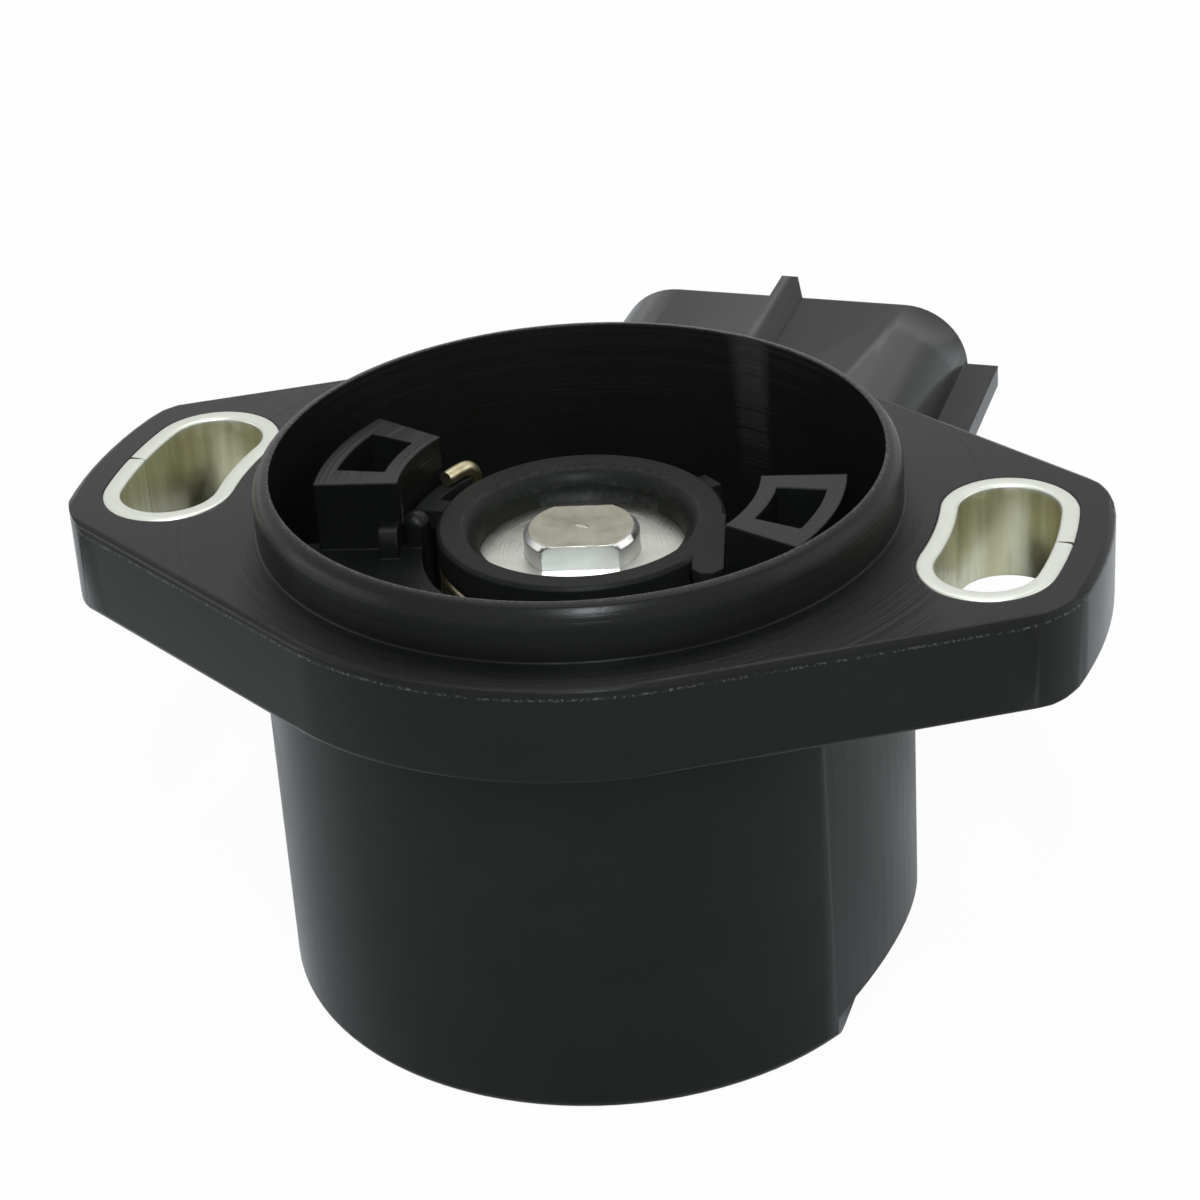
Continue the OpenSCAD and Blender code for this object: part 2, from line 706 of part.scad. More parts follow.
// Moulded lever: funnel ring, skirt and web, with the stop horn, the spring finger and a drive lug
module lever() {
    edge = 0.25;
    foot = rim_bottom + 0.4;
    root = 0.6;
    neck = 9;
    color(dark_nylon) {
        rotate_extrude() polygon([
            [shaft_r + seat_gap, web_bottom], [skirt_r, web_bottom], [skirt_r, rim_bottom],
            [lever_r, rim_bottom], [lever_r, lever_top - edge], [lever_r - edge, lever_top],
            [lever_mouth_r, lever_top], [lever_bore_r, lever_top - funnel_h],
            [lever_bore_r, plate_bottom], [shaft_r + seat_gap, plate_bottom]]);
        difference() {
            union() {
                translate([0, 0, lever_top - horn_t]) linear_extrude(horn_t) rotate(horn_turn) polygon([
                    [lever_r - 1, 0.3], [lever_r, 0], [lever_r, horn_corner - horn_length],
                    [lever_r - horn_corner, -horn_length], [lever_r - horn_w + horn_corner, -horn_length],
                    [lever_r - horn_w, horn_corner - horn_length], [lever_r - horn_w, -4]]);
                ring_sector(lever_r - root, lug_out_r, lug_from, lug_to, foot, lever_top - 0.7);
                ring_sector(lever_r - root, finger_in_r + 0.2, finger_to - neck, finger_to, foot, finger_top);
                ring_sector(finger_in_r, finger_out_r, finger_from, finger_to, foot, finger_top);
            }
            translate([0, 0, rim_bottom - over])
                cylinder(r = lever_r - root + 0.1, h = lever_rim_h + 2 * over);
        }
    }
}

// Round section swept along a path: one ring of points at each path point, joined into a closed skin
function unit(v) = v / norm(v);
function tangent(path, i) = unit(path[min(i + 1, len(path) - 1)] - path[max(i - 1, 0)]);
function side_vec(t) = unit(abs(t[2]) > 0.9 ? cross(t, [0, 1, 0]) : cross(t, [0, 0, 1]));
function carried(path, i, s) = let (t = tangent(path, i)) unit(s - (s * t) * t);
function frames(path, i, s, out) = i >= len(path) ? out :
    let (n = carried(path, i, s)) frames(path, i + 1, n, concat(out, [n]));
module swept_wire(path, r, sides) {
    normals = frames(path, 0, side_vec(tangent(path, 0)), []);
    last = len(path) - 1;
    points = [for (i = [0 : last]) let (t = tangent(path, i), n = normals[i], b = cross(t, n))
        for (k = [0 : sides - 1]) path[i] + r * (cos(360 * k / sides) * n + sin(360 * k / sides) * b)];
    walls = [for (i = [0 : last - 1], k = [0 : sides - 1])
        let (a = i * sides + k, b = i * sides + (k + 1) % sides) [a, a + sides, b + sides, b]];
    polyhedron(points, concat(walls, [[for (k = [0 : sides - 1]) k]],
        [[for (k = [sides - 1 : -1 : 0]) last * sides + k]]), convexity = 10);
}

function polar(r, a, z) = [r * cos(a), r * sin(a), z];
module return_spring() {
    steps = 20;
    coil = [for (i = [0 : steps * spring_turns]) let (f = i / (steps * spring_turns))
        polar(spring_r, coil_start + (coil_end - coil_start) * f, coil_top + (coil_bottom - coil_top) * f)];
    hook = [polar(hook_r, hook_angle + 14, hook_z), polar(hook_r, hook_angle + 6, hook_z),
        polar(hook_r, hook_angle + 2.4, hook_z - 0.12), polar(hook_r, hook_angle, hook_z - 0.7),
        polar(hook_r, hook_angle, hook_z - 1.6), polar(hook_r, hook_angle + 0.3, coil_top + 0.5),
        polar(hook_r - 0.1, hook_angle + 2.5, coil_top + 0.08),
        polar(hook_r - 0.7, hook_angle + 9, coil_top), polar(spring_r + 0.5, hook_angle + 18, coil_top)];
    tail = [for (p = [[spring_r + 0.25, 9], [spring_r + 0.8, 16], [spring_r + 1.8, tail_turn - 1.5],
        [tail_r, tail_turn]]) polar(p[0], coil_end + p[1], coil_bottom)];
    color(brass_wire) swept_wire(concat(hook, coil, tail), wire_d / 2, 8);
}

module upper_washer() {
    color(tin) tube(washer_r, shaft_r + seat_gap, web_bottom - washer_t, web_bottom);
}

module shaft_bush() {
    color(bronze) tube(bush_r, shaft_r + run_gap, bush_bottom, boss_top);
}

module shaft_seal() {
    lip = 0.5;
    lip_t = 0.4;
    throat = 0.9;
    mouth = shaft_r + throat + lip_t;
    color(rubber) rotate_extrude() polygon([
        [shaft_r + run_gap, seal_bottom + lip], [mouth, seal_bottom], [seal_r, seal_bottom],
        [seal_r, seal_bottom + seal_h], [mouth + lip_t, seal_bottom + seal_h],
        [shaft_r + throat, seal_bottom + 2 * throat], [shaft_r + run_gap, seal_bottom + throat]]);
}

module lower_washer() {
    color(bright_steel)
        tube(seal_boss_r - 0.4, shaft_r + seat_gap, lower_washer_z, lower_washer_z + lower_washer_t);
}

module retaining_clip() {
    gap_w = 2 * clip_groove_r - clip_ease;
    color(bright_steel) difference() {
        tube(clip_r, clip_groove_r + seat_gap, clip_bottom, lower_washer_z);
        translate([-gap_w / 2, 0, clip_bottom - over]) cube([gap_w, clip_r + over, clip_t + 2 * over]);
    }
}

module keyed_bore(bottom, top) {
    difference() {
        translate([0, 0, bottom]) cylinder(r = shaft_r + seat_gap, h = top - bottom);
        translate([carrier_flat + seat_gap, -shaft_d, bottom - over])
            cube([shaft_d, 2 * shaft_d, top - bottom + 2 * over]);
    }
}

module wiper_carrier() {
    color(black_nylon) difference() {
        union() {
            translate([0, 0, carrier_bottom]) cylinder(r = carrier_r, h = carrier_t);
            translate([0, 0, hub_bottom]) cylinder(r = hub_r, h = hub_drop + over);
            for (r = [track_in_r, track_out_r]) rotate([0, 0, wiper_angle])
                translate([r, -wiper_back, carrier_bottom - rivet_r]) cylinder(r = rivet_r, h = over);
        }
        keyed_bore(hub_bottom - over, carrier_top + over);
        for (a = [0, 60, 300]) rotate([0, 0, a])
            translate([(hub_r + carrier_r) / 2, 0, carrier_bottom - over])
                cylinder(r = 1.6, h = carrier_t + 2 * over);
    }
}

module push_nut() {
    color(bright_steel) difference() {
        translate([0, 0, hub_bottom - nut_t]) cylinder(r = shaft_r + 1.6, h = nut_t);
        keyed_bore(hub_bottom - nut_t - over, hub_bottom + over);
    }
}

// Leaf with a riveted base and three fingers that reach down to the track
module wiper(r) {
    reach = wiper_reach;
    drop = carrier_bottom - track_top - end_gap;
    root = wiper_base_l - wiper_base_in;
    color(bronze) rotate([0, 0, wiper_angle]) translate([r, -wiper_back, 0]) {
        difference() {
            translate([-track_w / 2, -wiper_base_in, carrier_bottom - leaf_t])
                cube([track_w, wiper_base_l, leaf_t]);
            translate([0, 0, carrier_bottom - over]) cylinder(r = rivet_r + seat_gap, h = 2 * over);
        }
        for (k = [-1, 0, 1]) translate([k * (track_w - tine_w) / 2 - tine_w / 2, root, 0])
            rotate([90, 0, 90]) linear_extrude(tine_w) polygon([
                [-0.1, carrier_bottom], [-0.1, carrier_bottom - leaf_t], [0, carrier_bottom - leaf_t],
                [reach - 0.4, carrier_bottom - drop], [reach, carrier_bottom - drop + 0.5],
                [reach - 0.2, carrier_bottom - drop + 0.6], [reach - 0.5, carrier_bottom - drop + leaf_t],
                [0.1, carrier_bottom]]);
    }
}

module resistor_board() {
    color(ceramic) difference() {
        translate([0, 0, board_top - board_t]) cylinder(r = board_r, h = board_t);
        translate([0, 0, board_top - board_t - over]) cylinder(r = shaft_r + 2, h = board_t + 2 * over);
    }
}

module track(r) {
    color(carbon) ring_sector(r - track_w / 2, r + track_w / 2, 60, 340, board_top, track_top);
}

module cover_gasket() {
    color(rubber) tube(cover_seat_r - cover_gap, chamber_r + cover_gap, cover_inner, shoulder_z);
}

// Pressed-in cover with three posts that hold the board up against its ribs
module bottom_cover() {
    color(black_nylon) {
        translate([0, 0, cover_outer]) cylinder(r = cover_seat_r - cover_gap, h = cover_t);
        for (a = [80, 200, 320]) rotate([0, 0, a]) translate([board_r - 3.5, 0, cover_inner - over])
            cylinder(r = 1.2, h = board_top - board_t - cover_inner + over);
    }
}

housing();
slot_bushing(-1);  // slot_bushing_left
slot_bushing(1);  // slot_bushing_right
shaft();
drive_plate();
lever();
return_spring();
upper_washer();
shaft_bush();
shaft_seal();
lower_washer();
retaining_clip();
wiper_carrier();
push_nut();
wiper(track_in_r);  // inner_wiper
wiper(track_out_r);  // outer_wiper
resistor_board();
track(track_in_r);  // inner_track
track(track_out_r);  // outer_track
color(tin) terminal(1);  // terminal_1
color(tin) terminal(2);  // terminal_2
color(tin) terminal(3);  // terminal_3
color(tin) terminal(4);  // terminal_4
color(tin) terminal(5);  // terminal_5
color(tin) terminal(6);  // terminal_6
cover_gasket();
bottom_cover();
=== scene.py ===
import math

import bmesh
import bpy
from mathutils import Matrix, Vector


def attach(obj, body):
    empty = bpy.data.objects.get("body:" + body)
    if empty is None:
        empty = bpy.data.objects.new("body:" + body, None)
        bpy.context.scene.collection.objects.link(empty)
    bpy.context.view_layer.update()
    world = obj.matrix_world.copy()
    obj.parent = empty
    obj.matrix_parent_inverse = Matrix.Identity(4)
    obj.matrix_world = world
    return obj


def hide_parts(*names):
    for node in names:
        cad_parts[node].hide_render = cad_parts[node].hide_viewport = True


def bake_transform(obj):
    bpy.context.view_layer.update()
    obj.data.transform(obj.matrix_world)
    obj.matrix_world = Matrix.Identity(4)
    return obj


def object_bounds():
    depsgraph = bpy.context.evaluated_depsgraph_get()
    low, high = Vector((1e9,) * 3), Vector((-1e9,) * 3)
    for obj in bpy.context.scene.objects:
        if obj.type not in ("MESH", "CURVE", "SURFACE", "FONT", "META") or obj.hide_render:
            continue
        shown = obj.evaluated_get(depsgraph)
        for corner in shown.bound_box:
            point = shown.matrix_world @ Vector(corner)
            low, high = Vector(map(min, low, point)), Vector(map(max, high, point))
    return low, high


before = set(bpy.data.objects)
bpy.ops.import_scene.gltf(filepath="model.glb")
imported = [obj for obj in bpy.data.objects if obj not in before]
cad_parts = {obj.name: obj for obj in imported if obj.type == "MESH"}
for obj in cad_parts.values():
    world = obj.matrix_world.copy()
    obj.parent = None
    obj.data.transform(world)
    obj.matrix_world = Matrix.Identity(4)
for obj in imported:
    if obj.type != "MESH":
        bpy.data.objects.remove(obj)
cad_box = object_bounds()

# Camera at the photograph's viewing angle. It looks at the shaft axis where it leaves the mounting
# face, from the right of the front, and is turned a little about its own line of sight.
CAMERA_AZIMUTH = math.radians(19.3)
CAMERA_ELEVATION = math.radians(27.18)
CAMERA_ROLL = math.radians(3.92)
CAMERA_DISTANCE = 0.21068
FOCAL_SHARE = 3100 / 1200
ORIGIN_PIXEL = (579.35, 499.7)
IMAGE_SIZE = 1200

camera = bpy.data.objects.new("camera", bpy.data.cameras.new("camera"))
bpy.context.collection.objects.link(camera)
camera.data.sensor_width = 36
camera.data.lens = 36 * FOCAL_SHARE
camera.data.clip_start = 0.01
camera.data.clip_end = 10
camera.data.shift_x = (IMAGE_SIZE / 2 - ORIGIN_PIXEL[0]) / IMAGE_SIZE
camera.data.shift_y = (ORIGIN_PIXEL[1] - IMAGE_SIZE / 2) / IMAGE_SIZE
back = Vector((math.sin(CAMERA_AZIMUTH) * math.cos(CAMERA_ELEVATION),
               -math.cos(CAMERA_AZIMUTH) * math.cos(CAMERA_ELEVATION),
               math.sin(CAMERA_ELEVATION)))
upright = (-back).to_track_quat("-Z", "Y").to_matrix().to_4x4()
camera.matrix_world = (Matrix.Translation(back * CAMERA_DISTANCE) @ upright
                       @ Matrix.Rotation(-CAMERA_ROLL, 4, "Z"))
bpy.context.scene.camera = camera

# Soft studio light: one cool upright strip over the camera, which gives the highlight on the collar's
# front edge, and weak fills from the left, the right and behind.


def soft_box(name, azimuth, elevation, distance, size, power, tint=(1, 1, 1)):
    a = math.radians(azimuth)
    e = math.radians(elevation)
    away = Vector((math.sin(a) * math.cos(e), -math.cos(a) * math.cos(e), math.sin(e)))
    lamp = bpy.data.lights.new(name, "AREA")
    lamp.shape = "RECTANGLE"
    lamp.size, lamp.size_y = size
    lamp.energy = power
    lamp.color = tint
    holder = bpy.data.objects.new(name, lamp)
    holder.matrix_world = (Matrix.Translation(away * distance)
                           @ (-away).to_track_quat("-Z", "Y").to_matrix().to_4x4())
    bpy.context.collection.objects.link(holder)
    return holder


soft_box("key", 20, 50, 0.6, (0.05, 0.42), 2.8, (0.88, 0.95, 1.0))
soft_box("left_fill", -72, 8, 0.9, (0.7, 0.3), 0.95)
soft_box("right_fill", 105, 22, 0.9, (0.7, 0.7), 1.1)
soft_box("top_back", 190, 60, 0.6, (0.3, 0.2), 0.5)

# Surroundings: plain white to the camera and in reflections, dimmer as light on the object.
world = bpy.data.worlds.new("studio")
bpy.context.scene.world = world
world.use_nodes = True
sky = world.node_tree
sky.nodes.clear()
paths = sky.nodes.new("ShaderNodeLightPath")
seen = sky.nodes.new("ShaderNodeMath")
seen.operation = "MAXIMUM"
sky.links.new(paths.outputs["Is Camera Ray"], seen.inputs[0])
sky.links.new(paths.outputs["Is Transmission Ray"], seen.inputs[1])
shown = sky.nodes.new("ShaderNodeMath")
shown.operation = "MAXIMUM"
sky.links.new(seen.outputs[0], shown.inputs[0])
sky.links.new(paths.outputs["Is Glossy Ray"], shown.inputs[1])
ambient = sky.nodes.new("ShaderNodeBackground")
ambient.inputs["Color"].default_value = (0.93, 0.97, 1.0, 1)
ambient.inputs["Strength"].default_value = 0.34
white = sky.nodes.new("ShaderNodeBackground")
white.inputs["Color"].default_value = (1, 1, 1, 1)
white.inputs["Strength"].default_value = 1
either = sky.nodes.new("ShaderNodeMixShader")
sky.links.new(shown.outputs[0], either.inputs[0])
sky.links.new(ambient.outputs[0], either.inputs[1])
sky.links.new(white.outputs[0], either.inputs[2])
sky_out = sky.nodes.new("ShaderNodeOutputWorld")
sky.links.new(either.outputs[0], sky_out.inputs["Surface"])
bpy.context.scene.view_settings.view_transform = "Standard"

# Table that the sensor stands on: a plain pale sheet. To the camera it is lifted to the
# background's white, and keeps a share of its own shading for the soft shadow. It lies a hair under
# the drum's rim, and is clear from below so that the underside can be looked at.
TABLE_HALF = 1.2
table_z = cad_box[0][2] - 0.00002
table_mesh = bpy.data.meshes.new("table")
table_mesh.from_pydata([(-TABLE_HALF, -TABLE_HALF, table_z), (TABLE_HALF, -TABLE_HALF, table_z),
                        (TABLE_HALF, TABLE_HALF, table_z), (-TABLE_HALF, TABLE_HALF, table_z)],
                       [], [(0, 1, 2, 3)])
table = bpy.data.objects.new("table", table_mesh)
bpy.context.collection.objects.link(table)
paper = bpy.data.materials.new("pale_table")
paper.use_nodes = True
tree = paper.node_tree
tree.nodes.clear()
sheet = tree.nodes.new("ShaderNodeBsdfDiffuse")
sheet.inputs["Color"].default_value = (0.86, 0.86, 0.86, 1)
glow = tree.nodes.new("ShaderNodeEmission")
glow.inputs["Color"].default_value = (1, 1, 1, 1)
glow.inputs["Strength"].default_value = 1
table_paths = tree.nodes.new("ShaderNodeLightPath")
share = tree.nodes.new("ShaderNodeMath")
share.operation = "MULTIPLY"
share.inputs[1].default_value = 0.96
tree.links.new(table_paths.outputs["Is Camera Ray"], share.inputs[0])
lift = tree.nodes.new("ShaderNodeMixShader")
tree.links.new(share.outputs[0], lift.inputs[0])
tree.links.new(sheet.outputs[0], lift.inputs[1])
tree.links.new(glow.outputs[0], lift.inputs[2])
below = tree.nodes.new("ShaderNodeNewGeometry")
clear = tree.nodes.new("ShaderNodeBsdfTransparent")
either_side = tree.nodes.new("ShaderNodeMixShader")
tree.links.new(below.outputs["Backfacing"], either_side.inputs[0])
tree.links.new(lift.outputs[0], either_side.inputs[1])
tree.links.new(clear.outputs[0], either_side.inputs[2])
table_out = tree.nodes.new("ShaderNodeOutputMaterial")
tree.links.new(either_side.outputs[0], table_out.inputs["Surface"])
table_mesh.materials.append(paper)

# Housing: one black glass-filled nylon moulding with flange, collar, cup, pillars, drum and plug
# socket. The mould was turned on a lathe at the cup, the collar and the flange's top, so they carry
# very fine rings. A thin torn line of flash runs under the flange's edge and round the collar's rim.
MM = 0.001
NYLON_BLACK = (0.0062, 0.007, 0.0058, 1)
NYLON_CLOUD = (0.0086, 0.0096, 0.008, 1)
NYLON_SCUFF = (0.2, 0.205, 0.18, 1)
FLANGE_LINE_Z = -0.62 * MM
RIM_LINE_Z = 3.8 * MM
COLLAR_R = 22.2 * MM
CUP_FLOOR_Z = -12.1 * MM
HOUSING_EDGE = 0.22 * MM


def add(tree, kind, inputs=None, **settings):
    made = tree.nodes.new(kind)
    for name, value in settings.items():
        setattr(made, name, value)
    for socket, value in (inputs or {}).items():
        if isinstance(value, bpy.types.NodeSocket):
            tree.links.new(value, made.inputs[socket])
        else:
            made.inputs[socket].default_value = value
    return made


def shader_group(name, inputs, outputs):
    tree = bpy.data.node_groups.new(name, "ShaderNodeTree")
    for label, value in inputs.items():
        socket = tree.interface.new_socket(label, in_out="INPUT", socket_type="NodeSocketFloat")
        socket.default_value = value
    for label in outputs:
        tree.interface.new_socket(label, in_out="OUTPUT", socket_type="NodeSocketFloat")
    start = tree.nodes.new("NodeGroupInput")
    end = tree.nodes.new("NodeGroupOutput")
    place = tree.nodes.new("ShaderNodeTexCoord").outputs["Object"]
    return tree, start.outputs, end.inputs, place


def use(tree, group, **values):
    made = tree.nodes.new("ShaderNodeGroup")
    made.node_tree = group
    for name, value in values.items():
        made.inputs[name.replace("_", " ")].default_value = value
    return made


def maths(tree, operation, first, second=None, clamp=False):
    inputs = {0: first} if second is None else {0: first, 1: second}
    return add(tree, "ShaderNodeMath", inputs, operation=operation, use_clamp=clamp).outputs[0]


def spread(tree, value, low, high, to_low=0.0, to_high=1.0):
    limits = {"Value": value, "From Min": low, "From Max": high, "To Min": to_low, "To Max": to_high}
    return add(tree, "ShaderNodeMapRange", limits).outputs["Result"]


def noise(tree, place, scale, detail=3.0, rough=0.5):
    inputs = {"Vector": place, "Scale": scale, "Detail": detail, "Roughness": rough}
    return add(tree, "ShaderNodeTexNoise", inputs).outputs["Fac"]


def blend_colour(tree, mask, first, second):
    inputs = {0: mask, 6: first, 7: second}
    return add(tree, "ShaderNodeMix", inputs, data_type="RGBA").outputs[2]


def object_place(tree):
    return tree.nodes.new("ShaderNodeTexCoord").outputs["Object"]


def material(name, **settings):
    made = bpy.data.materials.new(name)
    made.use_nodes = True
    skin = made.node_tree.nodes["Principled BSDF"]
    for label, value in settings.items():
        skin.inputs[label.replace("_", " ")].default_value = value
    made.diffuse_color = settings.get("Base_Color", (0.5, 0.5, 0.5, 1))
    return made, made.node_tree, skin


# Relief of a material, shaded over edges that are rounded to the given radius.
def relief(tree, skin, height, distance, strength=1.0, edge=0.0):
    inputs = {"Height": height, "Distance": distance, "Strength": strength}
    if edge:
        inputs["Normal"] = add(tree, "ShaderNodeBevel", {"Radius": edge}, samples=8).outputs["Normal"]
    bump = add(tree, "ShaderNodeBump", inputs)
    tree.links.new(bump.outputs["Normal"], skin.inputs["Normal"])


def dress(made, *names):
    for name in names:
        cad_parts[name].data.materials.clear()
        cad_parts[name].data.materials.append(made)


def mesh_piece(name, mesh, made, body, slot, *nodes):
    mesh.materials.clear()
    mesh.materials.append(made)
    piece = bpy.data.objects.new(name, mesh)
    bpy.context.collection.objects.link(piece)
    if body:
        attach(piece, body)
    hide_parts(*nodes)
    return piece


def evaluated(holder):
    bpy.context.view_layer.update()
    made = bpy.data.meshes.new_from_object(holder.evaluated_get(bpy.context.evaluated_depsgraph_get()))
    bpy.data.objects.remove(holder)
    return made


# A merged copy of a node's mesh, smooth over its curved walls and sharp at its edges.
def smooth_copy(node, angle=32):
    shape = bmesh.new()
    shape.from_mesh(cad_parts[node].data)
    bmesh.ops.remove_doubles(shape, verts=shape.verts, dist=1e-7)
    bmesh.ops.dissolve_limit(shape, angle_limit=math.radians(0.5), verts=shape.verts, edges=shape.edges)
    for face in shape.faces:
        face.smooth = True
    mesh = bpy.data.meshes.new(node + "_smooth")
    shape.to_mesh(mesh)
    shape.free()
    mesh.set_sharp_from_angle(angle=math.radians(angle))
    holder = bpy.data.objects.new(node + "_smooth", mesh)
    bpy.context.collection.objects.link(holder)
    face_weight = holder.modifiers.new("face_weight", "WEIGHTED_NORMAL")
    face_weight.keep_sharp = True
    return evaluated(holder)


# Worn edges: where the surface turns sharply within Width, broken up by a noise of Breakup.
# On the shaft this mask also paints a highlight on the chamfers.
wear_tree, wear_in, wear_out, wear_place = shader_group(
    "edge_wear", {"Width": 0.0004, "Breakup": 900.0, "Amount": 1.0}, ["Mask"])
rounded = add(wear_tree, "ShaderNodeBevel", {"Radius": wear_in["Width"]}, samples=6)
flat = add(wear_tree, "ShaderNodeNewGeometry")
facing = add(wear_tree, "ShaderNodeVectorMath",
             {0: rounded.outputs["Normal"], 1: flat.outputs["True Normal"]}, operation="DOT_PRODUCT")
turned = spread(wear_tree, facing.outputs["Value"], 0.985, 0.86)
ragged = spread(wear_tree, noise(wear_tree, wear_place, wear_in["Breakup"], 4.0, 0.65), 0.42, 0.6)
worn = maths(wear_tree, "MULTIPLY", maths(wear_tree, "MULTIPLY", turned, ragged), wear_in["Amount"])
wear_tree.links.new(worn, wear_out["Mask"])

# Moulded skin: fine grain as a height, and slow cloudy changes of tone.
grain_tree, grain_in, grain_out, grain_place = shader_group(
    "moulded_grain", {"Grain": 5200.0, "Clouds": 60.0}, ["Height", "Tone"])
fine = noise(grain_tree, grain_place, grain_in["Grain"], 2.0, 0.6)
broad = noise(grain_tree, grain_place, grain_in["Clouds"], 4.0, 0.55)
grain_tree.links.new(fine, grain_out["Height"])
grain_tree.links.new(spread(grain_tree, broad, 0.3, 0.7), grain_out["Tone"])

# Specks: scattered light dots, as of dust, scuffs and torn flash.
speck_tree, speck_in, speck_out, speck_place = shader_group(
    "specks", {"Scale": 1500.0, "Size": 0.3, "Patches": 180.0}, ["Mask"])
cells = add(speck_tree, "ShaderNodeTexVoronoi", {"Vector": speck_place, "Scale": speck_in["Scale"]})
dots = maths(speck_tree, "LESS_THAN", cells.outputs["Distance"], speck_in["Size"])
patches = spread(speck_tree, noise(speck_tree, speck_place, speck_in["Patches"], 3.0, 0.6), 0.46, 0.6)
speck_tree.links.new(maths(speck_tree, "MULTIPLY", dots, patches), speck_out["Mask"])

# A band across Z: 1 on Level, falling to 0 at Half above and below it, outside Inside from the axis.
band_tree, band_in, band_out, band_place = shader_group(
    "level_band", {"Level": 0.0, "Half": 0.0002, "Inside": 0.0}, ["Mask"])
height = add(band_tree, "ShaderNodeSeparateXYZ", {0: band_place}).outputs["Z"]
away = maths(band_tree, "ABSOLUTE", maths(band_tree, "SUBTRACT", height, band_in["Level"]))
near = maths(band_tree, "SUBTRACT", 1.0, maths(band_tree, "DIVIDE", away, band_in["Half"]), True)
from_axis = add(band_tree, "ShaderNodeVectorMath", {0: band_place, 1: (1, 1, 0)}, operation="MULTIPLY")
span = add(band_tree, "ShaderNodeVectorMath", {0: from_axis.outputs[0]}, operation="LENGTH").outputs["Value"]
outside = maths(band_tree, "GREATER_THAN", span, band_in["Inside"])
band_tree.links.new(maths(band_tree, "MULTIPLY", near, outside), band_out["Mask"])

# Turned rings: a height that follows the distance from the axis plus the level, as the lathe leaves
# on an end face and on a round wall, the slow stains on it, and Reach, the distance from the axis.
turning_tree, turning_in, turning_out, turning_place = shader_group(
    "turned_rings", {"Pitch": 9000.0, "Stain": 420.0}, ["Height", "Tone", "Reach"])
parts = add(turning_tree, "ShaderNodeSeparateXYZ", {0: turning_place}).outputs
flat_place = add(turning_tree, "ShaderNodeCombineXYZ", {0: parts["X"], 1: parts["Y"]}).outputs[0]
radius = add(turning_tree, "ShaderNodeVectorMath", {0: flat_place}, operation="LENGTH").outputs["Value"]
across = maths(turning_tree, "ADD", radius, parts["Z"])
ring_place = add(turning_tree, "ShaderNodeCombineXYZ", {0: across}).outputs[0]
rings = noise(turning_tree, ring_place, turning_in["Pitch"], 0.0, 0.5)
turning_tree.links.new(rings, turning_out["Height"])
turning_tree.links.new(radius, turning_out["Reach"])
stain = spread(turning_tree, noise(turning_tree, turning_place, turning_in["Stain"], 5.0, 0.6), 0.35, 0.68)
turning_tree.links.new(stain, turning_out["Tone"])

nylon, tree, skin = material("black_nylon", Base_Color=NYLON_BLACK, Roughness=0.2,
                             Specular_IOR_Level=0.15)
grain = use(tree, grain_tree, Grain=5200, Clouds=55)
turning = use(tree, turning_tree, Pitch=30000, Stain=420)
level = add(tree, "ShaderNodeSeparateXYZ", {0: object_place(tree)}).outputs["Z"]
in_cup = maths(tree, "MULTIPLY", maths(tree, "LESS_THAN", turning.outputs["Reach"], COLLAR_R),
               maths(tree, "GREATER_THAN", level, CUP_FLOOR_Z))
on_face = spread(tree, use(tree, band_tree, Level=0, Half=0.3 * MM).outputs[0], 0.3, 0.7)
turned = maths(tree, "MAXIMUM", in_cup, on_face)
specks = use(tree, speck_tree, Scale=3600, Size=0.3, Patches=220)
flange_line = use(tree, band_tree, Level=FLANGE_LINE_Z, Half=0.13 * MM, Inside=COLLAR_R)
rim_line = use(tree, band_tree, Level=RIM_LINE_Z, Half=0.1 * MM)
flecks = spread(tree, noise(tree, object_place(tree), 4200, 4, 0.7), 0.5, 0.6)
flange_torn = maths(tree, "MULTIPLY", flange_line.outputs[0], flecks)
rim_torn = maths(tree, "MULTIPLY", rim_line.outputs[0], flecks)
torn = maths(tree, "MAXIMUM", maths(tree, "MULTIPLY", flange_torn, 0.45),
             maths(tree, "MULTIPLY", rim_torn, 0.5))
marks = maths(tree, "ADD", torn, maths(tree, "MULTIPLY", specks.outputs[0], 0.012), True)
tone = blend_colour(tree, grain.outputs["Tone"], NYLON_BLACK, NYLON_CLOUD)
tree.links.new(blend_colour(tree, marks, tone, NYLON_SCUFF), skin.inputs["Base Color"])
satin = spread(tree, grain.outputs["Tone"], 0, 1, 0.19, 0.25)
tree.links.new(maths(tree, "ADD", satin, maths(tree, "MULTIPLY", marks, 0.3)), skin.inputs["Roughness"])
turned_height = maths(tree, "MULTIPLY", turning.outputs["Height"], turned)
skin_height = maths(tree, "ADD", maths(tree, "MULTIPLY", turned_height, 0.4),
                    maths(tree, "MULTIPLY", grain.outputs["Height"], 0.12))
relief(tree, skin, maths(tree, "ADD", skin_height, maths(tree, "MULTIPLY", torn, 0.8)), 0.06 * MM, 0.8,
       HOUSING_EDGE)
mesh_piece("housing_moulding", smooth_copy("housing"), nylon, "housing", "black_nylon", "housing")

# Slot bushings: two kidney-shaped collars rolled from zinc-plated sheet steel, pressed into the
# ears' slots to carry the screws' clamping load. Each has a butt seam at the middle of its outer
# side, whose corners spring open a little; the lips are bare, and the yellow passivation stays inside.
SLOT_R = 29 * MM
SLOT_HALF_SWEEP = math.radians(7.9)
SLOT_HALF_W = 3.4 * MM
BUSHING_WALL = 1.25 * MM
BUSHING_H = 7.0 * MM
BUSHING_MID_Z = -3.4 * MM
BUSHING_TOP_Z = 0.1 * MM
SEAM_W = 0.06 * MM
SEAM_FLARE = 0.16 * MM
LIP_FILLET = 0.22 * MM
FILLET_STEPS = 4
OUTER_STEPS = 12
END_STEPS = 24
INNER_STEPS = 16

